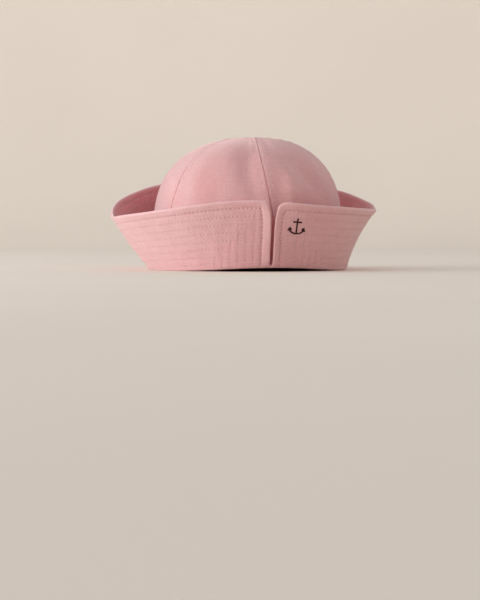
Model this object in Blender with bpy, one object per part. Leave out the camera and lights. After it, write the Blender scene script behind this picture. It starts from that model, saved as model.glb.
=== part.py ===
"""Sailor cap: a round crown of five sewn panels and a turned-up double-cloth brim, split at the back.

Metres, +Z up. The front faces -Y and the wearer's left is +X. The cap rests at Z = 0 on the fold of
its brim. Azimuth is in degrees round the head line, 0 at the middle of the back, positive towards the
wearer's left. Every piece of cloth is a grid of points on its outer face, thickened inwards.
"""

import bpy
import numpy as np

# Head line: the oval that the crown's outer face follows at its lower edge.
# The centre places the middle of the whole cap's box on the Z axis.
HEAD_HALF_WIDTH = 0.0838
HEAD_HALF_DEPTH = 0.1015
HEAD_CENTRE_X = -0.0025
HEAD_CENTRE_Y = -0.0082

# Crown
CROWN_CLOTH = 0.0013
CROWN_EDGE_Z = 0.0090  # lower edge, where the crown is sewn to the brim
CROWN_WALL_Z = 0.0415  # the upright wall turns into the dome here
CROWN_TOP_Z = 0.1190
DOME_FULLNESS = 2.36  # 2 is an ellipse, more is squarer
DOME_LEAN = 0.0042  # the dome's top stands this far towards the wearer's right
DOME_LEAN_POWER = 5.0  # how much of the lean lies near the top
SEAM_GAP = 0.0006
TIP_SHARE = 0.016  # the panels stop this share of the head line short of the crown's middle
WALL_ROWS = 3
DOME_ROWS = 10
PANEL_COLUMNS = 7

# One row for each crown seam: azimuth on the wall, half-way up the dome and at the top.
CROWN_SEAMS = {
    "centre_back": (-0.5, 3.4, 7.0),
    "left_side": (70.6, 63.3, 66.0),
    "left_front": (142.0, 138.0, 134.0),
    "right_front": (218.0, 222.0, 226.0),
    "right_side": (290.0, 293.0, 296.0),
}
CROWN_PANELS = ("back_left", "side_left", "front", "side_right", "back_right")

# One row for each soft dent of the crown: azimuth, height, depth, half spread round, half spread up, and
# how many degrees the dent is turned, its upper end going towards the wearer's left. A dent of negative
# depth stands out.
CROWN_DENTS = (
    (13.5, 0.0880, 0.0034, 0.0115, 0.0175, 0.0),
    (31.0, 0.0840, -0.0014, 0.0140, 0.0210, 0.0),
    (10.0, 0.0660, 0.0012, 0.0090, 0.0140, 0.0),
    (-25.0, 0.0840, 0.0027, 0.0090, 0.0220, 48.0),
    (-13.0, 0.0690, -0.0030, 0.0085, 0.0200, 0.0),
    (110.0, 0.0840, 0.0016, 0.0180, 0.0160, 0.0),
    (188.0, 0.0880, 0.0018, 0.0220, 0.0150, 0.0),
    (250.0, 0.0780, 0.0016, 0.0180, 0.0170, 0.0),
)
APEX_DIP = 0.0009  # the seams' meeting point lies this far below the dome
APEX_DIP_SPREAD = 0.0070

# Brim
BRIM_WALL = 0.0024
BRIM_EDGE_GAP = 0.0003  # between the inner leg's top and the crown's lower edge
FOLD_OUTSET = 0.0016  # middle of the fold, outside the head line
FOLD_RADIUS = 0.0030  # outer radius of the two bends of the fold
FOLD_FLAT = 0.0016  # flat strip that the fold rests on
FOLD_RISE = 0.0034  # the fold arches this far off the surface at the split
FOLD_RISE_REACH = 62.0  # degrees to each side of the split
BEND_ROWS = 3
LEG_ROWS = 7
BRIM_COLUMNS = 72
EDGE_CROWDING = 0.85  # how much closer the columns stand near the split than at the front

# One row for each section of the brim: azimuth, width from the fold to the rim, and the lean from
# upright at the fold and at the rim, in degrees.
BRIM_SECTIONS = (
    (-180.0, 0.0845, 9.0, 3.0),
    (-145.0, 0.0830, 11.0, 6.0),
    (-115.0, 0.0790, 13.0, 20.0),
    (-95.0, 0.0712, 14.0, 40.0),
    (-75.0, 0.0640, 14.0, 41.0),
    (-45.0, 0.0620, 23.0, 33.0),
    (-15.0, 0.0620, 26.0, 31.0),
    (15.0, 0.0625, 22.0, 18.0),
    (45.0, 0.0625, 28.0, 31.0),
    (75.0, 0.0615, 37.0, 37.0),
    (95.0, 0.0622, 42.0, 31.0),
    (115.0, 0.0730, 28.0, 25.0),
    (145.0, 0.0835, 11.0, 8.0),
    (180.0, 0.0845, 9.0, 3.0),
)

# The split at the back. One row for each height, as a share of the width from fold to rim: how far
# its left and right edges lie to the wearer's left of the middle of the back.
SPLIT_EDGES = (
    (0.00, 0.0038, 0.0016),
    (0.25, 0.0043, 0.0020),
    (0.50, 0.0045, 0.0024),
    (0.72, 0.0050, 0.0023),
    (0.86, 0.0061, 0.0017),
    (1.00, 0.0081, 0.0010),
)
SPLIT_CORNER_LEFT = 0.0012
SPLIT_CORNER_RIGHT = 0.0058

CROWN_COLOUR = (0.740, 0.402, 0.388, 1.0)
BRIM_COLOUR = (0.752, 0.412, 0.396, 1.0)
CLOTH_ROUGHNESS = 0.9
SHARP_EDGE_ANGLE = 50.0  # degrees between faces above which an edge is shaded sharp


def clear_scene():
    """Take every object out of the file that the script runs in."""
    for thing in list(bpy.data.objects):
        bpy.data.objects.remove(thing, do_unlink=True)


def cloth_material(name, colour):
    """Dyed cotton: a matt, non-metallic surface."""
    material = bpy.data.materials.new(name)
    material.use_nodes = True
    shader = material.node_tree.nodes["Principled BSDF"]
    shader.inputs["Base Color"].default_value = colour
    shader.inputs["Roughness"].default_value = CLOTH_ROUGHNESS
    shader.inputs["Metallic"].default_value = 0.0
    material.diffuse_color = colour
    return material


def cloth_piece(name, face, wall, joined_rows, material):
    """Make a grid of outer-face points a cloth wall of the given thickness, grown inwards.

    face is rows x columns x 3, rows going up and columns going round towards the wearer's left.
    The last column is joined to the first in the lowest joined_rows rows of cells.
    """
    rows, columns = face.shape[:2]
    index = np.arange(rows * columns).reshape(rows, columns)
    corners = (index[:-1, :-1], index[1:, :-1], index[1:, 1:], index[:-1, 1:])
    cells = np.stack(corners, axis=-1).reshape(-1, 4)
    low = index[:joined_rows]
    high = index[1 : joined_rows + 1]
    joint = np.stack((low[:, -1], high[:, -1], high[:, 0], low[:, 0]), axis=-1)
    mesh = bpy.data.meshes.new(name)
    mesh.from_pydata(face.reshape(-1, 3).tolist(), [], np.vstack((cells, joint)).tolist())
    mesh.materials.append(material)
    mesh.shade_smooth()
    mesh.set_sharp_from_angle(angle=np.radians(SHARP_EDGE_ANGLE))
    piece = bpy.data.objects.new(name, mesh)
    bpy.context.collection.objects.link(piece)
    thickness = piece.modifiers.new("cloth wall", "SOLIDIFY")
    thickness.thickness = wall
    thickness.offset = -1.0
    thickness.use_even_offset = True
    thickness.use_rim = True
    return piece


def head_line(azimuth):
    """Point of the head line at an azimuth, and its outward direction."""
    turn = np.radians(azimuth)
    x = HEAD_HALF_WIDTH * np.sin(turn)
    y = HEAD_HALF_DEPTH * np.cos(turn)
    out_x = np.sin(turn) / HEAD_HALF_WIDTH
    out_y = np.cos(turn) / HEAD_HALF_DEPTH
    length = np.hypot(out_x, out_y)
    return x, y, out_x / length, out_y / length


def head_line_reach(azimuth):
    """Length of the head line for each radian of azimuth."""
    turn = np.radians(azimuth)
    return np.hypot(HEAD_HALF_WIDTH * np.cos(turn), HEAD_HALF_DEPTH * np.sin(turn))


def fold_rise(azimuth):
    """Height of the fold's lowest line: a smooth arch over the split, zero elsewhere."""
    turn = (azimuth + 180.0) % 360.0 - 180.0
    arch = FOLD_RISE * np.cos(0.5 * np.pi * turn / FOLD_RISE_REACH) ** 2
    return np.where(np.abs(turn) < FOLD_RISE_REACH, arch, 0.0)


def dome_profile(climb):
    """Share of the head line that is left, and share of the dome's height, as climb goes from 1 to 2."""
    turn = np.clip(climb - 1.0, 0.0, 1.0) * 0.5 * np.pi
    power = 2.0 / DOME_FULLNESS
    return np.abs(np.cos(turn)) ** power, np.abs(np.sin(turn)) ** power


def crown_point(azimuth, climb):
    """Point on the crown's outer face. climb goes from 0 to 1 up the wall and from 1 to 2 over the dome."""
    share, height = dome_profile(climb)
    edge = CROWN_EDGE_Z + fold_rise(azimuth)
    wall = edge + (CROWN_WALL_Z - edge) * np.clip(climb, 0.0, 1.0)
    z = wall + (CROWN_TOP_Z - CROWN_WALL_Z) * height
    x, y, _, _ = head_line(azimuth)
    lean = DOME_LEAN * height**DOME_LEAN_POWER
    point = np.stack((x * share - lean, y * share, z), axis=-1)
    return point - dent_depth(azimuth, point)[..., None] * outwards(point)


def outwards(point):
    """Direction away from the middle of the crown, for pressing the dents in."""
    middle = np.array((0.0, 0.0, CROWN_WALL_Z))
    away = point - middle
    away[..., 2] = np.maximum(away[..., 2], 0.0)
    return away / np.linalg.norm(away, axis=-1, keepdims=True)


def dent_depth(azimuth, point):
    """How far the crown is pressed in at a point: a rounded pit for each row of the table."""
    radius = np.hypot(point[..., 0] + DOME_LEAN, point[..., 1])
    depth = APEX_DIP * np.exp(-((radius / APEX_DIP_SPREAD) ** 2))
    for centre, height, pressed, spread_round, spread_up, slant in CROWN_DENTS:
        sideways = np.radians((azimuth - centre + 180.0) % 360.0 - 180.0) * radius
        up = point[..., 2] - height
        turn = np.radians(slant)
        across = (sideways * np.cos(turn) - up * np.sin(turn)) / spread_round
        along = (up * np.cos(turn) + sideways * np.sin(turn)) / spread_up
        depth = depth + pressed * np.exp(-(across**2) - along**2)
    return depth


def seam_azimuth(row, climb):
    """Azimuth of a seam: the parabola through the three values of its row of CROWN_SEAMS."""
    height = dome_profile(climb)[1]
    low, middle, top = row
    return low + height * (4.0 * middle - 3.0 * low - top) + 2.0 * height**2 * (low - 2.0 * middle + top)


def crown_panel(start, end):
    """Grid of one panel's outer face between two seams, each given by its row of CROWN_SEAMS."""
    tip = 1.0 + np.arccos(TIP_SHARE ** (0.5 * DOME_FULLNESS)) / (0.5 * np.pi)
    wall = np.linspace(0.0, 1.0, WALL_ROWS + 1)[:-1]
    dome = np.linspace(1.0, tip, DOME_ROWS + 1)
    climb = np.concatenate((wall, dome))[:, None]
    left = seam_azimuth(start, climb)
    right = seam_azimuth(end, climb)
    share = dome_profile(climb)[0]
    left = left + np.degrees(0.5 * SEAM_GAP / (share * head_line_reach(left)))
    right = right - np.degrees(0.5 * SEAM_GAP / (share * head_line_reach(right)))
    azimuth = left + (right - left) * np.linspace(0.0, 1.0, PANEL_COLUMNS + 1)[None, :]
    return crown_point(azimuth, np.broadcast_to(climb, azimuth.shape))


def brim_section(azimuth):
    """Width, lean at the fold and lean at the rim: smooth cubic steps between the table's rows."""
    table = np.array(BRIM_SECTIONS)
    before = table[:-1] - (360.0, 0.0, 0.0, 0.0)
    after = table[1:] + (360.0, 0.0, 0.0, 0.0)
    rows = np.vstack((before, table, after))
    turn = (azimuth + 180.0) % 360.0 - 180.0
    place = np.searchsorted(rows[:, 0], turn, side="right") - 1
    gap = rows[place + 1, 0] - rows[place, 0]
    step = ((turn - rows[place, 0]) / gap)[..., None]
    slope_here = (rows[place + 1] - rows[place - 1]) / (rows[place + 1, :1] - rows[place - 1, :1])
    slope_next = (rows[place + 2] - rows[place]) / (rows[place + 2, :1] - rows[place, :1])
    here = (1.0 + 2.0 * step) * (1.0 - step) ** 2 * rows[place]
    there = step**2 * (3.0 - 2.0 * step) * rows[place + 1]
    leave = step * (1.0 - step) ** 2 * slope_here * gap[..., None]
    arrive = step**2 * (step - 1.0) * slope_next * gap[..., None]
    blended = here + there + leave + arrive
    return blended[..., 1], np.radians(blended[..., 2]), np.radians(blended[..., 3])


def corner_drop(distance, radius):
    """How far a rounded corner lowers the rim at a distance from the split's edge."""
    short = np.clip(radius - distance, 0.0, radius)
    return radius - np.sqrt(radius**2 - short**2)


def brim_grid():
    """Grid of the brim's outer face, and how many of its lowest rows run on across the split.

    A section of the cloth goes down the inner leg, round a bend to the flat strip of the fold, round
    a second bend, and up the outer leg to the rim.
    """
    even = np.linspace(0.0, 1.0, BRIM_COLUMNS + 1)
    across = even - EDGE_CROWDING * np.sin(2.0 * np.pi * even) / (2.0 * np.pi)
    split = np.array(SPLIT_EDGES)
    shares = np.concatenate((np.zeros(2 * BEND_ROWS + 3), np.linspace(0.0, 1.0, LEG_ROWS + 1)[1:]))
    left = np.interp(shares, split[:, 0], split[:, 1])[:, None]
    right = np.interp(shares, split[:, 0], split[:, 2])[:, None]
    start = np.degrees(left / HEAD_HALF_WIDTH)
    end = 360.0 + np.degrees(right / HEAD_HALF_WIDTH)
    azimuth = start + (end - start) * across[None, :]

    width, lean_fold, lean_rim = brim_section(azimuth[-1])
    far = HEAD_HALF_WIDTH * np.radians(azimuth[-1])
    width = width - corner_drop(far - left[-1], SPLIT_CORNER_LEFT)
    width = width - corner_drop(right[-1] + 2.0 * np.pi * HEAD_HALF_WIDTH - far, SPLIT_CORNER_RIGHT)

    inner_turn = np.linspace(0.5 * np.pi, 0.0, BEND_ROWS + 1)[:, None]
    inner_x = -0.5 * FOLD_FLAT - FOLD_RADIUS * np.sin(inner_turn)
    inner_z = FOLD_RADIUS * (1.0 - np.cos(inner_turn))
    leg_x = np.vstack((inner_x[:1], inner_x))
    leg_z = np.vstack(([[CROWN_EDGE_Z - BRIM_EDGE_GAP]], inner_z))
    inner_leg_x = np.broadcast_to(leg_x, (leg_x.size, width.size))
    inner_leg_z = np.broadcast_to(leg_z, (leg_z.size, width.size))

    bend = 0.5 * np.pi - lean_fold
    outer_turn = np.linspace(0.0, 1.0, BEND_ROWS + 1)[:, None] * bend
    outer_x = 0.5 * FOLD_FLAT + FOLD_RADIUS * np.sin(outer_turn)
    outer_z = FOLD_RADIUS * (1.0 - np.cos(outer_turn))

    outer_leg = width - 0.5 * FOLD_FLAT - FOLD_RADIUS * bend
    middle = (np.arange(LEG_ROWS)[:, None] + 0.5) / LEG_ROWS
    lean = lean_fold + (lean_rim - lean_fold) * middle
    outer_leg_x = outer_x[-1] + np.cumsum(np.sin(lean), axis=0) * outer_leg / LEG_ROWS
    outer_leg_z = outer_z[-1] + np.cumsum(np.cos(lean), axis=0) * outer_leg / LEG_ROWS

    out = FOLD_OUTSET + np.vstack((inner_leg_x, outer_x, outer_leg_x))
    z = np.vstack((inner_leg_z, outer_z, outer_leg_z)) + fold_rise(azimuth)
    x, y, out_x, out_y = head_line(azimuth)
    joined_rows = 2 * BEND_ROWS + 2
    return np.stack((x + out_x * out, y + out_y * out, z), axis=-1), joined_rows


def build():
    """Build the five crown panels and the brim."""
    clear_scene()
    middle = np.array((HEAD_CENTRE_X, HEAD_CENTRE_Y, 0.0))
    crown_cloth = cloth_material("crown_cloth", CROWN_COLOUR)
    seams = list(CROWN_SEAMS.values())
    first_again = tuple(azimuth + 360.0 for azimuth in seams[0])
    for name, start, end in zip(CROWN_PANELS, seams, seams[1:] + [first_again]):
        face = crown_panel(start, end) + middle
        cloth_piece("crown_panel_" + name, face, CROWN_CLOTH, 0, crown_cloth)
    brim_cloth = cloth_material("brim_cloth", BRIM_COLOUR)
    face, joined_rows = brim_grid()
    cloth_piece("brim", face + middle, BRIM_WALL, joined_rows, brim_cloth)


build()
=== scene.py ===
"""Looks of a sailor cap: a topstitched crown of five panels inside a quilted, turned-up brim.

Metres, +Z up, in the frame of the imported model: the front faces -Y, the wearer's left is +X. Azimuth is
in degrees round the head line, 0 at the middle of the back and positive towards the wearer's left.
Every cloth piece is a closed sheet: two faces that lie half the cloth's thickness from a smooth middle
face, pressed in along the rows of stitches, and meeting in a rounded turn at each free edge.
"""

import bmesh
import bpy
import numpy as np
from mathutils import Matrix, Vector


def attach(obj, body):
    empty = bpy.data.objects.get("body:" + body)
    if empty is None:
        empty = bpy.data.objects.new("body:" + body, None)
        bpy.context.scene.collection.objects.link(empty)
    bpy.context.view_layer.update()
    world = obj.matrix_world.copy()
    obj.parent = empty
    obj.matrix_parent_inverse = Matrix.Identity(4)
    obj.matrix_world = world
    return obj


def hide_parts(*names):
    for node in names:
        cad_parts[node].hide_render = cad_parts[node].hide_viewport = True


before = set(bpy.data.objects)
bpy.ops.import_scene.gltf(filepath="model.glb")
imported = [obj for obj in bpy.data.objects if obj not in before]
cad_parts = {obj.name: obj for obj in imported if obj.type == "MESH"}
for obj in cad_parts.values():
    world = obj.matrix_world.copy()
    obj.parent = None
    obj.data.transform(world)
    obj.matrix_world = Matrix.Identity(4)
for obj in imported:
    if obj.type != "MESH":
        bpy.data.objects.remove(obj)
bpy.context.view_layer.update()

# Head line, the oval that the crown follows at its lower edge
HEAD_HALF_WIDTH = 0.0838
HEAD_HALF_DEPTH = 0.1015
HEAD_CENTRE = np.array((-0.0025, -0.0082, 0.0))

# Crown
CROWN_CLOTH = 0.0012
CROWN_EDGE_Z = 0.009
CROWN_WALL_Z = 0.0415
CROWN_TOP_Z = 0.119
DOME_FULLNESS = 2.36
DOME_LEAN = 0.0042
DOME_LEAN_POWER = 5.0
TIP_SHARE = 0.0004
WALL_ROWS = 34
DOME_ROWS = 134
MIDDLE_COLUMNS = 46

# One row for each crown seam: azimuth on the wall, half-way up the dome and at the top.
CROWN_SEAMS = {
    "centre_back": (-0.5, 3.4, 7.0),
    "left_side": (70.6, 63.3, 66.0),
    "left_front": (142.0, 138.0, 134.0),
    "right_front": (218.0, 222.0, 226.0),
    "right_side": (290.0, 293.0, 296.0),
}
CROWN_PANELS = ("back_left", "side_left", "front", "side_right", "back_right")

# One row for each soft dent of the crown: azimuth, height, depth, half spread round, half spread up, and
# how many degrees the dent is turned, its upper end going towards the wearer's left. Negative stands out.
CROWN_DENTS = (
    (13.5, 0.088, 0.0034, 0.0115, 0.0175, 0.0),
    (31.0, 0.084, -0.0014, 0.014, 0.021, 0.0),
    (10.0, 0.066, 0.0012, 0.009, 0.014, 0.0),
    (-25.0, 0.084, 0.0027, 0.009, 0.022, 48.0),
    (-13.0, 0.069, -0.003, 0.0085, 0.02, 0.0),
    (110.0, 0.084, 0.0016, 0.018, 0.016, 0.0),
    (188.0, 0.088, 0.0018, 0.022, 0.015, 0.0),
    (250.0, 0.078, 0.0016, 0.018, 0.017, 0.0),
)
APEX_DIP = 0.0009
APEX_DIP_SPREAD = 0.007
CROWN_WAVE_REACH = 0.0016  # metres that the waves of the cloth run on for each degree of azimuth

# One row for each soft patch of painted light or painted shade on the crown, partly also wear: azimuth,
# height, how much paler (or, below nought, deeper) it is, half spread round in degrees and half spread up.
CROWN_PAINTED_LIGHT_AND_SHADE = (
    (41.0, 0.078, -1.0, 13.0, 0.028),
    (24.0, 0.106, -0.75, 18.0, 0.014),
    (17.0, 0.06, 0.55, 9.0, 0.01),
    (8.0, 0.084, -0.55, 3.5, 0.018),
    (-10.0, 0.068, 0.95, 9.0, 0.018),
    (62.0, 0.064, 0.5, 10.0, 0.016),
    (-38.0, 0.074, -0.4, 16.0, 0.02),
)

# Crown seams: the turnings are pressed open and stitched down on both sides.
SEAM_STITCH = 0.0046  # from the seam to its row of stitches
SEAM_PUFF = 0.00028
SEAM_PUFF_REACH = 0.008
SEAM_LOW_SHARE = 0.8  # puff of the lower side of a seam, as a share of the proud side's
SEAM_ROUNDING = 0.00015
SEAM_EDGE_DEPTH = 0.3  # a panel's two faces meet at this share of the cloth's half thickness
SEAM_GROOVE = 0.00004
SEAM_GROOVE_SPREAD = 0.00055
SEAM_PUCKER_REACH = 0.0085  # the puckers across a seam fade over this distance
SEAM_INSIDE_SHARE = 0.6  # strength of a seam's relief on the inner face
NARROW_PANEL = 0.03  # relief fades where a panel is narrower than this
LAST_STITCH_CLIMB = 1.86  # how far up the dome the stitches beside the seams go
# Painted shade in the crown seams' grooves: a deep rose along each seam.
SEAM_SHADE_SPREAD = 0.0009
SEAM_SHADE_LOSS = 0.85  # the painted shade in a seam's groove fades by this share between two heights, where the dome is lit from above
SEAM_SHADE_FADES = (0.075, 0.108)
WORN_AND_LIT_LINE = 0.0013  # the cloth is painted palest this far from a seam: wear, and a painted highlight on the seam's lip
WORN_AND_LIT_SPREAD = 0.0007
WORN_AND_LIT_LOW_SHARE = 0.5

# Grid of a crown panel, in millimetres: columns beside each seam, and rows above the lower edge
SEAM_COLUMNS = (0.0, 0.03, 0.1, 0.26, 0.6, 1.0, 1.6, 2.4, 3.2, 3.8, 4.2, 4.6, 5.0, 5.5, 6.1, 6.8, 7.8, 9.4)
SEAM_COLUMNS_SHARE = 0.42  # the columns beside one seam take at most this share of a panel's width
FOOT_ROWS = (0.0, 0.04, 0.16, 0.36, 0.6)

# Brim
BRIM_CLOTH = 0.0024
FOLD_OUTSET = 0.0016
FOLD_RADIUS = 0.003
FOLD_FLAT = 0.0016
FOLD_RISE = 0.0034
FOLD_RISE_REACH = 62.0
INNER_LEG = 0.0075
INNER_LEG_TUCK = 0.0012  # the inner leg's top lies this far inside the crown's edge

# One row for each section of the brim: azimuth, width from the fold to the rim, and the lean from
# upright at the fold and at the rim, in degrees.
BRIM_SECTIONS = np.array((
    (-180.0, 0.0845, 9.0, 3.0),
    (-145.0, 0.083, 11.0, 6.0),
    (-115.0, 0.079, 13.0, 20.0),
    (-95.0, 0.0712, 14.0, 40.0),
    (-75.0, 0.064, 14.0, 41.0),
    (-45.0, 0.062, 23.0, 33.0),
    (-15.0, 0.062, 26.0, 31.0),
    (15.0, 0.0625, 22.0, 18.0),
    (45.0, 0.0625, 28.0, 31.0),
    (75.0, 0.0615, 37.0, 37.0),
    (95.0, 0.0622, 42.0, 31.0),
    (115.0, 0.073, 28.0, 25.0),
    (145.0, 0.0835, 11.0, 8.0),
    (180.0, 0.0845, 9.0, 3.0),
))

# The split at the back. One row for each height, as a share of the outer leg from its foot to the rim:
# how far its left and right edges lie to the wearer's left of the middle of the back.
SPLIT_EDGES = np.array((
    (0.0, 0.0038, 0.0016),
    (0.25, 0.0043, 0.002),
    (0.5, 0.0045, 0.0024),
    (0.72, 0.005, 0.0023),
    (0.86, 0.0061, 0.0017),
    (1.0, 0.0081, 0.001),
))
SPLIT_CORNER_LEFT = 0.0012
SPLIT_CORNER_RIGHT = 0.0058

# Quilting of the brim: rows parallel to the rim that turn down beside the split. The legs are where
# each row turns down, measured from the split's left and right edge.
FIRST_ROW = 0.0065
ROW_STEP = 0.007
ROWS = FIRST_ROW + ROW_STEP * np.arange(14)
LEFT_LEGS = np.array((7.4, 14.2, 20.9, 27.5, 33.9, 40.2, 47.0, 54.0)) * 0.001
RIGHT_LEGS = np.array((5.6, 12.2, 19.2, 26.2, 33.2, 40.2, 47.2, 54.2)) * 0.001
LEGS = LEFT_LEGS.size
LEG_RUNS = ROWS[:LEGS]
ROW_CORNER_RIGHT = 0.012
QUILT_GROOVE = 0.00007
QUILT_GROOVE_SPREAD = 0.001
FIRST_GROOVE = 0.00046
QUILT_PUFF = 0.0001
HEM_PUFF = 0.00032
HEM_SHOULDER = 0.0011
SPLIT_LIFT = 0.0016  # how far the two flaps stand out at the split's edges, from the first leg on
STITCH_PITCH = 0.0033
QUILT_END = 0.0015  # no stitch lies nearer to the inner leg's top
SWAY_REACH = 0.095  # metres that the brim's sway and its puckers run on for each radian of azimuth
PUCKER_REACH = 0.105
WORN_RIM_SPREAD = 0.0016
# Painted highlight on the left flap's hem beside the split, the side that faces the key light
SPLIT_PAINTED_HIGHLIGHT = 0.7
TROUGH_SHADE_REACH = 0.004  # the inner face's painted shade reaches its full strength this far below the rim
FLOOR_CLEARANCE = 0.0012  # stitches lower than this would go into the floor

# Grid of the brim
EDGE_STEPS = np.array((0.0, 0.03, 0.14, 0.34, 0.62, 0.95, 1.3, 2.1, 3.3, 4.4)) * 0.001
HEM_STEPS = np.array((1.5, 0.95, 0.4)) * 0.001
CHANNEL_STEPS = np.array((0.0, 0.06, 0.15, 0.32, 0.54, 0.78, 0.92))
LEFT_ZONE = 0.0415
RIGHT_ZONE = 0.0345
EVEN_ROWS_END = 0.052
LOWER_LEG_ROWS = 24
FOLD_ROWS = 22
FOLD_EVEN_END = 0.97  # share of the fold with even rows, and the closer ones after it
FOLD_LAST_ROWS = (0.984, 0.993, 0.998, 1.0)
LEAST_STEP = 0.0002
FAR_STEPS = (0.0011, 0.0034)  # first and last step of the columns away from the split
SPLIT_PASSES = 3  # how often the columns beside the split are moved nearer to their distance from it

# Mark on the right flap, a plain anchor in satin stitch: its middle, from the split's right edge and from
# the rim. Its straight strokes and the bow of its arms are in millimetres.
MARK_ASIDE = 0.0188
MARK_RUN = 0.0208
MARK_STITCH = 0.0016
MARK_THREAD = 0.00019
MARK_STEP = 0.28
MARK_STROKES = (
    ((0.0, 7.2), (0.0, -6.6)),
    ((-3.6, 4.0), (3.6, 4.0)),
    ((-7.2, -4.2), (-6.0, -1.2), (-4.6, -3.4)),
    ((7.2, -4.2), (6.0, -1.2), (4.6, -3.4)),
)
MARK_BOW_TURN = 64.0
MARK_BOW_ACROSS = 7.0
MARK_BOW_DOWN = 6.4
MARK_BOW_MIDDLE = -0.4
MARK_LIFT = 0.00012

# Painted shade below these heights of the crown, where the brim shades it: its cloth turns a deeper, more
# saturated pink.
TROUGH_SHADE_TOP = 0.052
TROUGH_SHADE_FOOT = 0.04

# Thread
THREAD_RADIUS = 0.0003
FINE_THREAD = 0.00022
STITCH_LENGTH = 0.0026
STITCH_SPOTS = np.array((0.5, 0.9))  # middle and end of a stitch, as shares of the pitch
STITCH_SKEW = np.radians(5.0)
STITCH_SKEW_SPREAD = 0.6

# Free edges, in metres
ON_EDGE = 1e-7  # what lies nearer to a free edge than this lies on it
MERGED = 2e-7  # points of a sheet nearer together than this become one

rng = np.random.default_rng(7)


# ---------------------------------------------------------------- shapes

def smooth_table(table, place):
    """Cubic steps through a table's rows: first column the place, the others the values.

    Between two rows the curve is the Hermite cubic whose slope at each row is the slope between its
    two neighbours.
    """
    place = np.clip(place, table[1, 0], table[-2, 0] - 1e-9)
    row = np.searchsorted(table[:, 0], place, side="right") - 1
    gap = (table[row + 1, 0] - table[row, 0])[..., None]
    step = (place - table[row, 0])[..., None] / gap
    slope_here = (table[row + 1] - table[row - 1]) / (table[row + 1, :1] - table[row - 1, :1])
    slope_next = (table[row + 2] - table[row]) / (table[row + 2, :1] - table[row, :1])
    here = (1.0 + 2.0 * step) * (1.0 - step) ** 2 * table[row]
    there = step**2 * (3.0 - 2.0 * step) * table[row + 1]
    leave = step * (1.0 - step) ** 2 * slope_here * gap
    arrive = step**2 * (step - 1.0) * slope_next * gap
    return (here + there + leave + arrive)[..., 1:]


def ease(value, start, end):
    """0 before start, 1 after end, and the smooth step 3t^2 - 2t^3 between them."""
    step = np.clip((value - start) / (end - start), 0.0, 1.0)
    return step**2 * (3.0 - 2.0 * step)


def bell(value, spread):
    """1 at nought, falling off on both sides as exp(-(value / spread)^2)."""
    return np.exp(-((value / spread) ** 2))


def wrapped(azimuth):
    """Azimuth from -180 to 180."""
    return (azimuth + 180.0) % 360.0 - 180.0


def head_line(azimuth):
    """Point of the head line, and its outward direction: the normal of the oval x/a, y/b."""
    turn = np.radians(azimuth)
    out_x = np.sin(turn) / HEAD_HALF_WIDTH
    out_y = np.cos(turn) / HEAD_HALF_DEPTH
    length = np.hypot(out_x, out_y)
    return HEAD_HALF_WIDTH * np.sin(turn), HEAD_HALF_DEPTH * np.cos(turn), out_x / length, out_y / length


def head_line_reach(azimuth):
    """Length of the head line for each radian of azimuth."""
    turn = np.radians(azimuth)
    return np.hypot(HEAD_HALF_WIDTH * np.cos(turn), HEAD_HALF_DEPTH * np.sin(turn))


def fold_rise(azimuth):
    """Height of the fold's lowest line: a cosine-squared arch over the split, zero elsewhere."""
    turn = wrapped(azimuth)
    arch = FOLD_RISE * np.cos(0.5 * np.pi * turn / FOLD_RISE_REACH) ** 2
    return np.where(np.abs(turn) < FOLD_RISE_REACH, arch, 0.0)


def unit(vectors):
    return vectors / np.maximum(np.linalg.norm(vectors, axis=-1, keepdims=True), 1e-12)


def normal_of(shape, first, second, first_step, second_step):
    """Unit normal of a surface of two parameters: the cross product of its two slopes."""
    along = shape(first + first_step, second) - shape(first - first_step, second)
    across = shape(first, second + second_step) - shape(first, second - second_step)
    return unit(np.cross(along, across))


def ripple(first, second, waves):
    """Sum of sines: each wave has an amplitude, the two wave numbers and a phase."""
    total = np.zeros(np.broadcast(first, second).shape)
    for height, first_number, second_number, phase in waves:
        total = total + height * np.sin(first_number * first + second_number * second + phase)
    return total


def waves(count, height, longest, shortest, slant):
    """Random waves with lengths between two limits, each turned up to slant radians from the first axis."""
    length = shortest * (longest / shortest) ** rng.random(count)
    turn = slant * (2.0 * rng.random(count) - 1.0)
    phase = 2.0 * np.pi * rng.random(count)
    number = 2.0 * np.pi / length
    share = height / np.sqrt(count) * (length / longest) ** 0.5
    return np.stack((share, number * np.cos(turn), number * np.sin(turn), phase), axis=-1)


CROWN_WAVES = waves(9, 0.00022, 0.06, 0.018, np.pi)
SEAM_WAVES = waves(8, 0.00016, 0.016, 0.006, 0.3)
BRIM_WAVES = waves(8, 0.0008, 0.13, 0.05, 0.6)
QUILT_WAVES = waves(12, 0.00013, 0.022, 0.008, 1.1)


# ---------------------------------------------------------------- crown

def dome_profile(climb):
    """Share of the head line that is left, and share of the dome's height, as climb goes from 1 to 2."""
    turn = np.clip(climb - 1.0, 0.0, 1.0) * 0.5 * np.pi
    power = 2.0 / DOME_FULLNESS
    return np.abs(np.cos(turn)) ** power, np.abs(np.sin(turn)) ** power


def crown_middle(azimuth, climb):
    """Smooth face of the crown: an upright oval wall for climb 0 to 1, a full dome for 1 to 2, with dents."""
    azimuth, climb = np.broadcast_arrays(azimuth, climb)
    share, height = dome_profile(climb)
    edge = CROWN_EDGE_Z + fold_rise(azimuth)
    z = edge + (CROWN_WALL_Z - edge) * np.clip(climb, 0.0, 1.0) + (CROWN_TOP_Z - CROWN_WALL_Z) * height
    x, y, _, _ = head_line(azimuth)
    point = np.stack((x * share - DOME_LEAN * height**DOME_LEAN_POWER, y * share, z), axis=-1)
    away = point - (0.0, 0.0, CROWN_WALL_Z)
    away[..., 2] = np.maximum(away[..., 2], 0.0)
    return point - dent_depth(azimuth, point)[..., None] * unit(away) + HEAD_CENTRE


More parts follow.
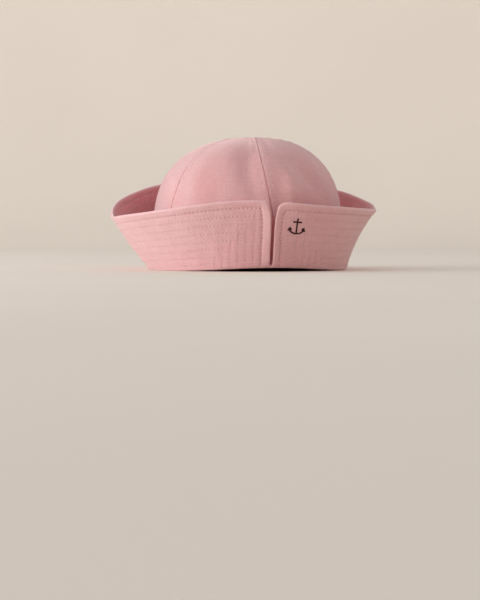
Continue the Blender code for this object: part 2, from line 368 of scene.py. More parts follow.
def dent_depth(azimuth, point):
    """How far the crown is pressed in: a rounded pit exp(-across^2 - along^2) for each row of the table."""
    radius = np.hypot(point[..., 0] + DOME_LEAN, point[..., 1])
    depth = APEX_DIP * bell(radius, APEX_DIP_SPREAD)
    for centre, height, pressed, spread_round, spread_up, slant in CROWN_DENTS:
        sideways = np.radians(wrapped(azimuth - centre)) * radius
        up = point[..., 2] - height
        turn = np.radians(slant)
        across = (sideways * np.cos(turn) - up * np.sin(turn)) / spread_round
        along = (up * np.cos(turn) + sideways * np.sin(turn)) / spread_up
        depth = depth + pressed * np.exp(-(across**2) - along**2)
    return depth


def crown_length(climb):
    """Length of cloth from the crown's lower edge up to a climb, measured on a section of mean width."""
    mean = 0.5 * (HEAD_HALF_WIDTH + HEAD_HALF_DEPTH)
    steps = np.linspace(0.0, 2.0, 801)
    share, height = dome_profile(steps)
    z = (CROWN_WALL_Z - CROWN_EDGE_Z) * np.clip(steps, 0.0, 1.0) + (CROWN_TOP_Z - CROWN_WALL_Z) * height
    length = np.concatenate(((0.0,), np.cumsum(np.hypot(np.diff(mean * share), np.diff(z)))))
    return np.interp(climb, steps, length)


def crown_climb(length):
    """The climb at a length of cloth above the crown's lower edge."""
    steps = np.linspace(0.0, 2.0, 1601)
    return np.interp(length, crown_length(steps), steps)


def crown_painted_light_and_shade(azimuth, z):
    """Painted light on the crown, or painted shade below nought, partly also wear: exp(-round^2 - up^2) for
    each row of its table.
    """
    return sum(paler * np.exp(-(wrapped(azimuth - place) / around) ** 2 - ((z - height) / up) ** 2)
               for place, height, paler, around, up in CROWN_PAINTED_LIGHT_AND_SHADE)


def seam_azimuth(row, climb):
    """Azimuth of a seam: the parabola through the three values of its row of CROWN_SEAMS."""
    height = dome_profile(climb)[1]
    low, middle, top = row
    return low + height * (4.0 * middle - 3.0 * low - top) + 2.0 * height**2 * (low - 2.0 * middle + top)


def round_edge(distance, half):
    """Share of the full half thickness at a distance from a free edge: a quarter round."""
    inside = 1.0 - np.clip(distance / half, 0.0, 1.0)
    return np.sqrt(np.clip(1.0 - inside**2, 0.0, 1.0))


def seam_relief(distance, length, strength):
    """Height of the cloth beside a crown seam.

    A smooth slope up to the seam over the turning underneath, less a groove at the stitches, and short
    puckers across the seam that fade with distance from it.
    """
    puff = SEAM_PUFF * strength * ease(distance, SEAM_PUFF_REACH, 0.0)
    groove = SEAM_GROOVE * bell(distance - SEAM_STITCH, SEAM_GROOVE_SPREAD)
    pucker = ripple(length, distance, SEAM_WAVES) * bell(distance, SEAM_PUCKER_REACH)
    return puff - groove + pucker


def panel_distances(azimuth, climb, start, end):
    """Distances of a point of a crown panel from the panel's two seams."""
    share = np.maximum(dome_profile(climb)[0], 1e-6)
    left = seam_azimuth(start, climb)
    right = seam_azimuth(end, climb)
    from_start = np.radians(azimuth - left) * share * head_line_reach(0.5 * (azimuth + left))
    from_end = np.radians(right - azimuth) * share * head_line_reach(0.5 * (azimuth + right))
    return np.maximum(from_start, 0.0), np.maximum(from_end, 0.0)


def panel_faces(azimuth, climb, start, end):
    """Outer and inner face of a crown panel at a grid of azimuths and climbs."""
    azimuth, climb = np.broadcast_arrays(azimuth, climb)
    from_start, from_end = panel_distances(azimuth, climb, start, end)
    length = crown_length(climb)
    half = 0.5 * CROWN_CLOTH
    nearest = np.maximum(np.minimum(np.minimum(from_start, from_end), length) - ON_EDGE, 0.0)
    thick = half * round_edge(nearest, SEAM_ROUNDING)
    fade = np.clip(nearest / half, 0.0, 1.0)
    narrow = np.clip((from_start + from_end) / NARROW_PANEL, 0.0, 1.0)
    relief = seam_relief(from_start, length, 1.0) + seam_relief(from_end, -length, SEAM_LOW_SHARE)
    relief = fade * (narrow * relief + ripple(azimuth * CROWN_WAVE_REACH, length, CROWN_WAVES))
    inside = sum(seam_relief(far, along, SEAM_INSIDE_SHARE)
                 for far, along in ((from_start, length), (from_end, -length)))
    inside = fade * narrow * 0.5 * inside
    face = crown_middle(azimuth, climb)
    out = -normal_of(crown_middle, azimuth, np.clip(climb, 0.002, 1.9985), 0.05, 0.001)
    thin = half - thick
    outer = face - (SEAM_EDGE_DEPTH * thin - relief)[..., None] * out
    inner = face - (2.0 * half - (2.0 - SEAM_EDGE_DEPTH) * thin + inside)[..., None] * out
    return outer, inner


def panel_grid(start, end):
    """Azimuths and climbs of a panel's grid: fixed distances beside its seams, even steps between them."""
    tip = 1.0 + np.arccos(TIP_SHARE ** (0.5 * DOME_FULLNESS)) / (0.5 * np.pi)
    foot = np.array(FOOT_ROWS) * 0.001
    lengths = np.concatenate((foot, np.linspace(0.001, crown_length(1.0), WALL_ROWS)[:-1],
                              np.linspace(crown_length(1.0), crown_length(tip), DOME_ROWS)))
    climb = crown_climb(lengths)[:, None]
    climb[-1] = tip
    share = dome_profile(climb)[0]
    left = seam_azimuth(start, climb)
    right = seam_azimuth(end, climb)
    width = np.radians(right - left) * share * head_line_reach(0.5 * (left + right))
    side = np.array(SEAM_COLUMNS) * 0.001
    scale = np.minimum(1.0, SEAM_COLUMNS_SHARE * width / side[-1])
    near = side[None, :] * scale / width
    even = np.linspace(0.0, 1.0, MIDDLE_COLUMNS + 1)[None, 1:-1]
    middle = near[:, -1:] + (1.0 - 2.0 * near[:, -1:]) * even
    across = np.hstack((near, middle, 1.0 - near[:, ::-1]))
    return left + (right - left) * across, np.broadcast_to(climb, across.shape)


# ---------------------------------------------------------------- brim

def brim_section(azimuth):
    """Width, lean at the fold and lean at the rim at an azimuth, in metres and radians."""
    turn_round = np.array((360.0, 0.0, 0.0, 0.0))
    rows = np.vstack((BRIM_SECTIONS[:-1] - turn_round, BRIM_SECTIONS, BRIM_SECTIONS[1:] + turn_round))
    values = smooth_table(rows, wrapped(azimuth))
    return values[..., 0], np.radians(values[..., 1]), np.radians(values[..., 2])


def outer_leg(azimuth):
    """Length of the outer leg, from the upper end of the fold's outer bend to the rim."""
    width, lean_fold, _ = brim_section(azimuth)
    return width - 0.5 * FOLD_FLAT - FOLD_RADIUS * (0.5 * np.pi - lean_fold)


def brim_reach(azimuth):
    """Length of a whole section of the brim, from the rim round the fold to the inner leg's top."""
    width = brim_section(azimuth)[0]
    return width + 0.5 * FOLD_FLAT + 0.5 * np.pi * FOLD_RADIUS + INNER_LEG


def brim_middle(azimuth, run):
    """Smooth outer face of the brim, run metres of cloth down from the rim.

    The outer leg's lean changes evenly along it, so its point is the closed form of that curve. Two
    round bends with a flat strip between them make the fold, and the inner leg goes up to the crown.
    """
    azimuth, run = np.broadcast_arrays(azimuth, run)
    _, lean_fold, lean_rim = brim_section(azimuth)
    leg = outer_leg(azimuth)
    bend = 0.5 * np.pi - lean_fold
    up = leg - np.minimum(run, leg)
    half_turn = 0.5 * (lean_rim - lean_fold) * up / leg
    slide = np.clip(run - leg, 0.0, FOLD_RADIUS * bend)
    flat = np.clip(run - leg - FOLD_RADIUS * bend, 0.0, FOLD_FLAT)
    past = run - leg - FOLD_RADIUS * bend - FOLD_FLAT
    inner = np.clip(past, 0.0, 0.5 * np.pi * FOLD_RADIUS) / FOLD_RADIUS
    rise = np.maximum(past - 0.5 * np.pi * FOLD_RADIUS, 0.0)
    turn = bend - slide / FOLD_RADIUS
    chord = up * np.sinc(half_turn / np.pi)
    out = FOLD_OUTSET + chord * np.sin(lean_fold + half_turn) + FOLD_RADIUS * np.sin(turn)
    out = out + 0.5 * FOLD_FLAT - flat - FOLD_RADIUS * np.sin(inner)
    out = out - INNER_LEG_TUCK * np.clip(rise / INNER_LEG, 0.0, 1.0) ** 2
    z = chord * np.cos(lean_fold + half_turn) + FOLD_RADIUS * (2.0 - np.cos(turn) - np.cos(inner)) + rise
    sway = ripple(np.radians(azimuth) * SWAY_REACH, run, BRIM_WAVES)
    out = out + sway * np.clip(up / leg, 0.0, 1.0) ** 1.5
    x, y, out_x, out_y = head_line(azimuth)
    return np.stack((x + out_x * out, y + out_y * out, z + fold_rise(azimuth)), axis=-1) + HEAD_CENTRE


def metres_round(run):
    """Length round the brim for each radian of azimuth near the split, at a run down from the rim."""
    run = np.asarray(run, float)
    turned = brim_middle(np.full(run.shape, 2.0), run) - brim_middle(np.full(run.shape, -2.0), run)
    return np.linalg.norm(turned, axis=-1) / np.radians(4.0)


ROUND_RUNS = np.linspace(0.0, 0.1, 201)
ROUND_METRES = metres_round(ROUND_RUNS)


def metres_at(run):
    """metres_round, read from its table."""
    return np.interp(run, ROUND_RUNS, ROUND_METRES)


def split_azimuths(azimuth, run):
    """Azimuths of the split's left and right edge at a run down from the rim."""
    height = 1.0 - run / outer_leg(azimuth)
    before = 2.0 * SPLIT_EDGES[0] - SPLIT_EDGES[1]
    after = 2.0 * SPLIT_EDGES[-1] - SPLIT_EDGES[-2]
    offsets = smooth_table(np.vstack((before, SPLIT_EDGES, after)), height)
    return np.degrees(offsets[..., 0] / HEAD_HALF_WIDTH), np.degrees(offsets[..., 1] / HEAD_HALF_WIDTH)


def split_distances(azimuth, run):
    """Distances round the brim from the split's left and right edge, to the left and to the right."""
    left, right = split_azimuths(azimuth, run)
    metres = metres_at(run)
    middle = 0.5 * (left + right)
    turn = (azimuth - middle) % 360.0 + middle
    return np.radians(turn - left) * metres, np.radians(360.0 + right - turn) * metres


def corner_distance(aside, run, radius):
    """Distance from an outline of two straight edges that meet in a round corner."""
    stretch = ROUND_METRES[0] / HEAD_HALF_WIDTH
    sideways = aside / stretch
    in_corner = radius - np.hypot(np.maximum(radius - sideways, 0.0), np.maximum(radius - run, 0.0))
    plain = np.minimum(aside, run)
    return np.where((sideways < radius) & (run < radius), in_corner, plain)


def edge_distance(azimuth, run):
    """Distance of a point of the brim from its nearest free edge: rim, split or inner leg's top."""
    left, right = split_distances(azimuth, run)
    below = np.maximum(run - outer_leg(azimuth), 0.0)
    left = np.hypot(np.maximum(left, 0.0), below)
    right = np.hypot(np.maximum(right, 0.0), below)
    distance = np.minimum(corner_distance(left, run, SPLIT_CORNER_LEFT),
                          corner_distance(right, run, SPLIT_CORNER_RIGHT))
    return np.maximum(np.minimum(distance, brim_reach(azimuth) - run) - ON_EDGE, 0.0)


def row_other(aside, level, radius):
    """The second distance of a point of a row, from its first: a straight line with a round end."""
    level, aside = np.broadcast_arrays(level, aside)
    within = np.maximum(radius - level, 0.0) ** 2 - np.maximum(radius - aside, 0.0) ** 2
    return np.where(level < radius, radius - np.sqrt(np.maximum(within, 0.0)), level)


def leg_level(distance, legs):
    """Run of the row whose leg lies at a distance from the split's edge."""
    return np.interp(distance, legs, LEG_RUNS) + distance - np.clip(distance, legs[0], legs[-1])


def leg_distance(level, legs):
    """Distance from the split's edge of the leg of the row at a run."""
    return np.interp(level, LEG_RUNS, legs) + level - np.clip(level, LEG_RUNS[0], LEG_RUNS[-1])


def quilt_rows(azimuth, run):
    """Number of the quilting row at each point, counted on between rows, and count of stitches along it.

    A point's number is the smaller of the one by its run and the one by its distance from the split,
    so that the rows are nested corners beside the split. Each corner is at a whole count.
    """
    left, right = split_distances(azimuth, run)
    above = run < outer_leg(azimuth)
    left = np.where(above, leg_level(left, LEFT_LEGS), 1.0)
    right = np.where(above, leg_level(right, RIGHT_LEGS), 1.0)
    radius = ROW_CORNER_RIGHT
    rounded = radius - np.hypot(np.maximum(radius - right, 0.0), np.maximum(radius - run, 0.0))
    level = np.minimum(np.minimum(left, right), run)
    level = np.where((right < radius) & (run < radius), rounded, level)
    number = (level - FIRST_ROW) / ROW_STEP
    row = np.clip(np.round(number), 0, ROWS.size - 1).astype(int)
    past = np.interp(azimuth, ROUND_TURNS, ROUND_SHARES) - ROW_STARTS[row]
    count = past / (ROW_ENDS[row] - ROW_STARTS[row]) * ROW_STITCHES[row]
    count = np.where((left < run) & (left < right), (ROWS[row] - run) / STITCH_PITCH, count)
    down = ROW_STITCHES[row] + (run - ROW_TURNS[row]) / STITCH_PITCH
    return number, np.where((right < run) & (right <= left), down, count)


def quilt_relief(azimuth, run):
    """Height of the quilted cloth: a groove exp(-d^2) at each row, a puff between rows, and puckers.

    The hem between the free edge and the first row is thicker and ends in a shoulder at that row.
    """
    number, _ = quilt_rows(azimuth, run)
    off = (number - np.maximum(np.round(number), 0.0)) * ROW_STEP
    depth = QUILT_GROOVE + (FIRST_GROOVE - QUILT_GROOVE) * bell(np.maximum(number, 0.0), 0.5)
    groove = depth * bell(off, QUILT_GROOVE_SPREAD)
    puff = QUILT_PUFF * np.cos(np.pi * (number + 0.5)) ** 2
    step = np.clip(-off / HEM_SHOULDER, 0.0, 1.0)
    puff = np.where(number < 0.0, HEM_PUFF * step**2 * (3.0 - 2.0 * step), puff)
    pucker = ripple(np.radians(azimuth) * PUCKER_REACH, run, QUILT_WAVES)
    return puff - groove + pucker


def split_lift(azimuth, run):
    """How far the flaps stand out beside the split: evenly more from the first leg to the edge."""
    left, right = split_distances(azimuth, run)
    beside = np.clip(np.minimum(left / LEFT_LEGS[0], right / RIGHT_LEGS[0]), 0.0, 1.0)
    return SPLIT_LIFT * (1.0 - beside) * ease(run, 0.0, 0.01) * ease(outer_leg(azimuth) - run, 0.0, 0.006)


def brim_faces(azimuth, run):
    """Outer and inner face of the brim at a grid of azimuths and runs."""
    azimuth, run = np.broadcast_arrays(azimuth, run)
    half = 0.5 * BRIM_CLOTH
    lift = split_lift(azimuth, run)
    nearest = edge_distance(azimuth, run)
    thick = half * round_edge(nearest, half)
    fade = np.clip(nearest / half, 0.0, 1.0)
    relief = fade * quilt_relief(azimuth, run)
    face = brim_middle(azimuth, run)
    out = normal_of(brim_middle, azimuth, np.maximum(run, 0.0002), 0.05, 0.0001)
    under = np.clip((run - outer_leg(azimuth)) / FOLD_RADIUS, 0.0, 1.0)
    outer = face - (half - lift - thick - relief * (1.0 - under))[..., None] * out
    inner = face - (half - lift + thick + 0.5 * relief)[..., None] * out
    return outer, inner


def azimuth_beside(distance, run, left_side):
    """Azimuth at a distance from the split's left or right edge, at a run down from the rim."""
    left, right = split_azimuths(np.zeros(np.shape(run)), run)
    turn = np.degrees(distance / metres_at(run))
    return left + turn if left_side else 360.0 + right - turn


# Length round the brim as a share of a whole turn, and for each row the shares at its two corners, the
# count of stitches between them and the run at which it turns down on the right.
ROUND_TURNS = np.linspace(-20.0, 380.0, 801)
ring = brim_middle(ROUND_TURNS, np.full(ROUND_TURNS.shape, ROWS[3]))
ROUND_SHARES = np.concatenate(((0.0,), np.cumsum(np.linalg.norm(np.diff(ring, axis=0), axis=-1))))
round_start, round_end = np.interp((0.0, 360.0), ROUND_TURNS, ROUND_SHARES)
ROUND_LENGTH = float(round_end - round_start)
ROUND_SHARES = (ROUND_SHARES - round_start) / ROUND_LENGTH
rounded_turns = ROW_CORNER_RIGHT - (ROW_CORNER_RIGHT - ROWS) / np.sqrt(2.0)
ROW_TURNS = np.where(ROWS < ROW_CORNER_RIGHT, rounded_turns, ROWS)
ROW_STARTS = np.zeros(ROWS.size)
ROW_ENDS = np.ones(ROWS.size)
left_corners = azimuth_beside(LEFT_LEGS, LEG_RUNS, True)
right_corners = azimuth_beside(leg_distance(ROW_TURNS[:LEGS], RIGHT_LEGS), ROW_TURNS[:LEGS], False)
ROW_STARTS[:LEGS] = np.interp(left_corners, ROUND_TURNS, ROUND_SHARES)
ROW_ENDS[:LEGS] = np.interp(right_corners, ROUND_TURNS, ROUND_SHARES)
ROW_STITCHES = np.round((ROW_ENDS - ROW_STARTS) * ROUND_LENGTH / STITCH_PITCH)


def growing(start, stop, first, last):
    """Places from start to stop whose steps grow evenly from the first to the last."""
    count = int(np.ceil(2.0 * (stop - start) / (first + last)))
    step = np.arange(count + 1)
    places = first * step + (last - first) * step**2 / (2.0 * count)
    return start + (stop - start) * places / places[-1]


def nested_steps(rows, stop):
    """Distances from an edge: close steps at the edge, then the same shares of each channel's width."""
    rows = np.append(rows, 2.0 * rows[-1] - rows[-2])
    channels = rows[:-1, None] + np.diff(rows)[:, None] * CHANNEL_STEPS[None, :]
    hem = rows[0] - HEM_STEPS
    steps = np.concatenate((EDGE_STEPS[EDGE_STEPS < hem[0] - LEAST_STEP], hem, channels.ravel()))
    return np.append(steps[steps < stop - LEAST_STEP], stop)


def brim_grid():
    """Azimuths and runs of the brim's grid, and the first row that runs on across the split.

    The last column is the first one again, a whole turn on, and is used below the split alone.
    """
    upper = nested_steps(LEG_RUNS, EVEN_ROWS_END)
    left_zone = nested_steps(LEFT_LEGS, LEFT_ZONE)
    right_zone = nested_steps(RIGHT_LEGS, RIGHT_ZONE)
    half_round = 0.5 * ROUND_LENGTH
    left_far = growing(LEFT_ZONE, half_round, *FAR_STEPS)[1:]
    right_far = growing(RIGHT_ZONE, half_round, *FAR_STEPS)[1:-1]
    left_share = (left_far - LEFT_ZONE) / (half_round - LEFT_ZONE)
    right_share = (right_far - RIGHT_ZONE) / (half_round - RIGHT_ZONE)

    def azimuths(run):
        near_left = azimuth_beside(left_zone[None, :], run, True)
        near_right = azimuth_beside(right_zone[None, :], run, False)
        far_left = near_left[:, -1:] + (180.0 - near_left[:, -1:]) * left_share[None, :]
        far_right = near_right[:, -1:] + (180.0 - near_right[:, -1:]) * right_share[None, :]
        return np.hstack((near_left, far_left, far_right[:, ::-1], near_right[:, ::-1],
                          near_left[:, :1] + 360.0))

    lower = np.linspace(0.0, 1.0, LOWER_LEG_ROWS + 1)[1:, None]
    fold = np.append(np.linspace(0.0, 1.0, FOLD_ROWS)[1:] * FOLD_EVEN_END, FOLD_LAST_ROWS)[:, None]
    foot_run = outer_leg(np.zeros(1))[0]
    runs = np.concatenate((upper, EVEN_ROWS_END + (foot_run - EVEN_ROWS_END) * lower[:, 0],
                           np.full(fold.size, foot_run)))
    azimuth = azimuths(runs[:, None])
    leg = outer_leg(azimuth[-1])[None, :]
    reach = brim_reach(azimuth[-1])[None, :]
    run = np.vstack((np.broadcast_to(upper[:, None], (upper.size, azimuth.shape[1])),
                     EVEN_ROWS_END + (leg - EVEN_ROWS_END) * lower,
                     leg + (reach - leg) * fold))

    left, right = split_distances(azimuth[0], np.zeros(azimuth.shape[1]))
    stretch = ROUND_METRES[0] / HEAD_HALF_WIDTH
    drop = corner_drop(left / stretch, SPLIT_CORNER_LEFT) + corner_drop(right / stretch, SPLIT_CORNER_RIGHT)
    run = run + drop[None, :] * np.clip(1.0 - run / EVEN_ROWS_END, 0.0, 1.0)
    joined_from = upper.size + LOWER_LEG_ROWS - 1
    split = slice(0, joined_from + 1)
    for side, zone, columns in ((0, left_zone, slice(0, left_zone.size)),
                                (1, right_zone[::-1], slice(-1 - right_zone.size, -1))):
        beside = run[split, columns]
        for _ in range(SPLIT_PASSES):
            off = zone - split_distances(azimuth[split, columns], beside)[side]
            turn = np.degrees(off / metres_at(beside))
            azimuth[split, columns] += (turn, -turn)[side]
    azimuth[:, -1] = azimuth[:, 0] + 360.0
    return azimuth, run, joined_from


def corner_drop(aside, radius):
    """How far a rounded corner lowers the rim at a distance from the split's edge."""
    short = np.clip(radius - aside, 0.0, radius)
    return radius - np.sqrt(radius**2 - short**2)


# ---------------------------------------------------------------- meshes

def mesh_piece(name, points, faces, material, maps, values):
    """A mesh from points and quads, with UV maps and point values, doubles merged and faces outwards."""
    mesh = bpy.data.meshes.new(name)
    mesh.from_pydata(points.tolist(), [], faces.tolist())
    corners = np.zeros(len(mesh.loops), np.int32)
    mesh.loops.foreach_get("vertex_index", corners)
    for map_name, places in maps.items():
        layer = mesh.uv_layers.new(name=map_name)
        layer.data.foreach_set("uv", places[corners].astype(np.float32).ravel())
    for value_name, amounts in values.items():
        layer = mesh.attributes.new(value_name, "FLOAT", "POINT")
        layer.data.foreach_set("value", amounts.astype(np.float32))
    shell = bmesh.new()
    shell.from_mesh(mesh)
    bmesh.ops.remove_doubles(shell, verts=shell.verts, dist=MERGED)
    bmesh.ops.delete(shell, geom=[point for point in shell.verts if not point.link_faces], context="VERTS")
    bmesh.ops.recalc_face_normals(shell, faces=shell.faces)
    shell.to_mesh(mesh)
    shell.free()
    mesh.shade_smooth()
    mesh.materials.append(material)
    piece = bpy.data.objects.new(name, mesh)
    bpy.context.scene.collection.objects.link(piece)
    return piece


def sheet_piece(name, outer, inner, joined_from, material, maps, values):
    """A closed sheet from the grids of its two faces, whose points coincide along every free edge.

    The cells beside the last column are made from row joined_from on. Values are given for the outer
    and for the inner face.
    """
    rows, columns = outer.shape[:2]
    index = np.arange(rows * columns).reshape(rows, columns)
    cells = np.stack((index[:-1, :-1], index[1:, :-1], index[1:, 1:], index[:-1, 1:]), axis=-1)
    cells = np.concatenate((cells[:, :-1].reshape(-1, 4), cells[joined_from:, -1]))
    faces = np.vstack((cells, cells[:, ::-1] + rows * columns))
    points = np.vstack((outer.reshape(-1, 3), inner.reshape(-1, 3)))
    both = {key: np.tile(value.reshape(-1, 2), (2, 1)) for key, value in maps.items()}
    amounts = {key: np.concatenate((value[0].ravel(), value[1].ravel())) for key, value in values.items()}
    return mesh_piece(name, points, faces, material, both, amounts)


def stitches(name, centre, along, out, material, length, radius):
    """Stitches of one thread: each is a short bowed capsule whose two ends go down into the cloth."""
    count = centre.shape[0]
    reach = np.array((-1.0, -0.55, 0.55, 1.0))
    girth = np.array((0.45, 1.0, 1.0, 0.45))
    turn = np.arange(6) * np.pi / 3.0
    x = np.repeat(reach, 6) * 0.5 * length
    radius = np.broadcast_to(radius, count)[:, None]
    y = radius * (np.repeat(girth, 6) * np.tile(np.cos(turn), 4) - 1.3 * np.repeat(reach, 6) ** 4 + 0.4)
    z = radius * np.repeat(girth, 6) * np.tile(np.sin(turn), 4)
    skew = STITCH_SKEW * (1.0 + STITCH_SKEW_SPREAD * rng.standard_normal(count))[:, None]
    first = unit(along + skew * unit(np.cross(out, along)))
    second = unit(np.cross(out, first))
    points = centre[:, None, :] + x[None, :, None] * first[:, None, :]
    points = points + y[..., None] * out[:, None, :] + z[..., None] * second[:, None, :]
    ring = np.arange(18).reshape(3, 6)
    side = np.stack((ring, ring + 6, np.roll(ring, -1, axis=1) + 6, np.roll(ring, -1, axis=1)), axis=-1)
    caps = np.array(((0, 1, 2, 3), (3, 4, 5, 0), (21, 20, 19, 18), (18, 23, 22, 21)))
    one = np.vstack((side.reshape(-1, 4), caps))
    faces = (one[None, :, :] + 24 * np.arange(count)[:, None, None]).reshape(-1, 4)
    tone = np.repeat(rng.random(count), 24)
    return mesh_piece(name, points.reshape(-1, 3), faces, material, {}, {"tone": tone})


# ---------------------------------------------------------------- thread places

def stitch_frames(faces, first, second, first_end, second_end):
    """Centre, direction and outward direction of stitches on both faces, from their middle and one end."""
    outer, inner = faces(first, second)
    outer_end, inner_end = faces(first_end, second_end)
    out = unit(outer - inner)
    return (outer, unit(outer_end - outer), out), (inner, unit(inner_end - inner), -out)


def quilt_stitches():
    """Azimuth and run of the middle and of one end of every stitch of the brim's quilting."""
    places = []
    foot = outer_leg(np.zeros(1))[0]
    for row in range(ROWS.size):
        steps = np.arange(ROW_STITCHES[row])
        counts = steps[:, None] + STITCH_SPOTS
        shares = ROW_STARTS[row] + counts / ROW_STITCHES[row] * (ROW_ENDS[row] - ROW_STARTS[row])
        azimuth = np.interp(shares, ROUND_SHARES, ROUND_TURNS)
        run = np.full(azimuth.shape, ROWS[row])
        if row < LEGS:
            right = leg_level(split_distances(azimuth, run)[1], RIGHT_LEGS)
            run = row_other(right, run, ROW_CORNER_RIGHT)
        kept = run[:, 0] < brim_reach(azimuth[:, 0]) - QUILT_END
        places.append(np.stack((azimuth, run), axis=-1)[kept])
        if row >= LEGS:
            continue
        steps = np.arange(np.floor((foot - ROW_TURNS[row]) / STITCH_PITCH))
        down = (steps[:, None] + STITCH_SPOTS) * STITCH_PITCH
        run = ROWS[row] + down
        places.append(np.stack((azimuth_beside(LEFT_LEGS[row], run, True), run), axis=-1)[run[:, 1] < foot])
        run = ROW_TURNS[row] + down
        aside = leg_distance(row_other(run, ROWS[row], ROW_CORNER_RIGHT), RIGHT_LEGS)
        places.append(np.stack((azimuth_beside(aside, run, False), run), axis=-1)[run[:, 1] < foot])
    places = np.concatenate(places)
    return places[:, 0, 0], places[:, 0, 1], places[:, 1, 0], places[:, 1, 1]


def seam_stitches(start, end):
    """Azimuth and climb of the middle and of one end of the stitches beside a panel's two seams."""
    count = int(crown_length(LAST_STITCH_CLIMB) / STITCH_PITCH)
    climb = crown_climb((np.arange(count)[:, None] + STITCH_SPOTS) * STITCH_PITCH)
    share = dome_profile(climb)[0]
    left = seam_azimuth(start, climb)
    right = seam_azimuth(end, climb)
    left = left + np.degrees(SEAM_STITCH / (share * head_line_reach(left)))
    right = right - np.degrees(SEAM_STITCH / (share * head_line_reach(right)))
    azimuth = np.concatenate((left, right))
    climb = np.concatenate((climb, climb))
    return azimuth[:, 0], climb[:, 0], azimuth[:, 1], climb[:, 1]


def anchor_stitches():
    """Satin stitches of the mark: close stitches across each of its strokes."""
    turn = np.radians(np.linspace(-MARK_BOW_TURN, MARK_BOW_TURN, 25))
    bow = np.stack((MARK_BOW_ACROSS * np.sin(turn), MARK_BOW_MIDDLE - MARK_BOW_DOWN * np.cos(turn)), axis=-1)
    strokes = [np.array(stroke) for stroke in MARK_STROKES] + [bow]
    centres, ends = [], []
    for stroke in strokes:
        length = np.concatenate(((0.0,), np.cumsum(np.linalg.norm(np.diff(stroke, axis=0), axis=-1))))
        spots = np.linspace(0.0, length[-1], int(length[-1] / MARK_STEP) + 1)
        centre, ahead, behind = (
            np.stack([np.interp(spots + step, length, line) for line in stroke.T], axis=-1)
            for step in (0.0, 0.05, -0.05))
        way = unit(ahead - behind)
        centres.append(centre)
        ends.append(centre + 0.4 * np.stack((-way[:, 1], way[:, 0]), axis=-1))
    centre, end = (0.001 * np.concatenate(spots) for spots in (centres, ends))
    (middle, _, out), _ = stitch_frames(brim_faces, *on_right_flap(centre), *on_right_flap(end))
    tip = brim_faces(*on_right_flap(end))[0]
    return middle + MARK_LIFT * out, unit(tip - middle), out


def on_right_flap(place):
    """Azimuth and run of a place on the right flap, from the mark's middle: away from the split, and up."""
    run = MARK_RUN - place[:, 1]
    return azimuth_beside(MARK_ASIDE + place[:, 0], run, False), run


# ---------------------------------------------------------------- materials

CLOTH_PINK = (0.78, 0.452, 0.47, 1.0)
CLOTH_DEEP = (0.64, 0.3, 0.318, 1.0)
CLOTH_PALE = (0.84, 0.56, 0.575, 1.0)
# Painted light: the cloth turns to this paler pink towards the wearer's left, the key light's side.
CLOTH_PAINTED_LIT_SIDE = (0.765, 0.545, 0.575, 1.0)
# Painted light and painted shade of the crown's patches.
CLOTH_PAINTED_LIGHT = (0.88, 0.52, 0.535, 1.0)
CLOTH_PAINTED_SHADE = (0.63, 0.35, 0.362, 1.0)
# Painted shade in the trough between brim and crown, and on the inner faces.
CLOTH_PAINTED_TROUGH_SHADE = (0.66, 0.11, 0.132, 1.0)
# Painted shade in the needle holes.
HOLE_PAINTED_SHADE = (0.4, 0.13, 0.14, 1.0)
# Painted shade in the crown seams' grooves.
SEAM_PAINTED_SHADE = (0.56, 0.215, 0.23, 1.0)
THREAD_PINK = (0.86, 0.6, 0.605, 1.0)
THREAD_DEEP = (0.79, 0.48, 0.49, 1.0)
MARK_DARK = (0.02, 0.002, 0.004, 1.0)
MARK_WARM = (0.06, 0.007, 0.012, 1.0)
TWILL_PITCH = 0.00085
YARN_PITCH = 0.00052


def shader(name):
    """A new material, its nodes and its Principled shader."""
    material = bpy.data.materials.new(name)
    material.use_nodes = True
    return material, material.node_tree, material.node_tree.nodes["Principled BSDF"]


def feed(tree, socket, value):
    """Set a socket to a value, or link another socket to it."""
    if isinstance(value, bpy.types.NodeSocket):
        tree.links.new(value, socket)
    else:
        socket.default_value = value


def node(tree, kind, inputs=None, **settings):
    """A node with its settings, and its inputs set or linked."""
    made = tree.nodes.new(kind)
    for key, value in settings.items():
        setattr(made, key, value)
    for key, value in (inputs or {}).items():
        feed(tree, made.inputs[key], value)
    return made


def calc(tree, operation, first, second=0.0, third=0.0):
    """The result of a Math node."""
    return node(tree, "ShaderNodeMath", {0: first, 1: second, 2: third}, operation=operation).outputs[0]


def ramp(tree, value, low, high, to_low=0.0, to_high=1.0):
    """A value between two limits eased to another range."""
    inputs = {"Value": value, "From Min": low, "From Max": high, "To Min": to_low, "To Max": to_high}
    return node(tree, "ShaderNodeMapRange", inputs, interpolation_type="SMOOTHSTEP").outputs["Result"]


def blend(tree, share, first, second):
    """Two colours mixed by a share."""
    made = node(tree, "ShaderNodeMix", data_type="RGBA")
    feed(tree, made.inputs[0], share)
    feed(tree, made.inputs[6], first)
    feed(tree, made.inputs[7], second)
    return made.outputs[2]


def parts_of(tree, vector):
    """The first two numbers of a vector."""
    split = node(tree, "ShaderNodeSeparateXYZ", {0: vector})
    return split.outputs[0], split.outputs[1]


def noise(tree, vector, detail, scale, stretch=None):
    """Noise with so many features to the metre, drawn out by a stretch along each axis where one is given."""
    if stretch:
        vector = node(tree, "ShaderNodeMapping", {"Vector": vector, "Scale": stretch}).outputs[0]
    return node(tree, "ShaderNodeTexNoise", {"Vector": vector, "Scale": scale, "Detail": detail}).outputs[0]


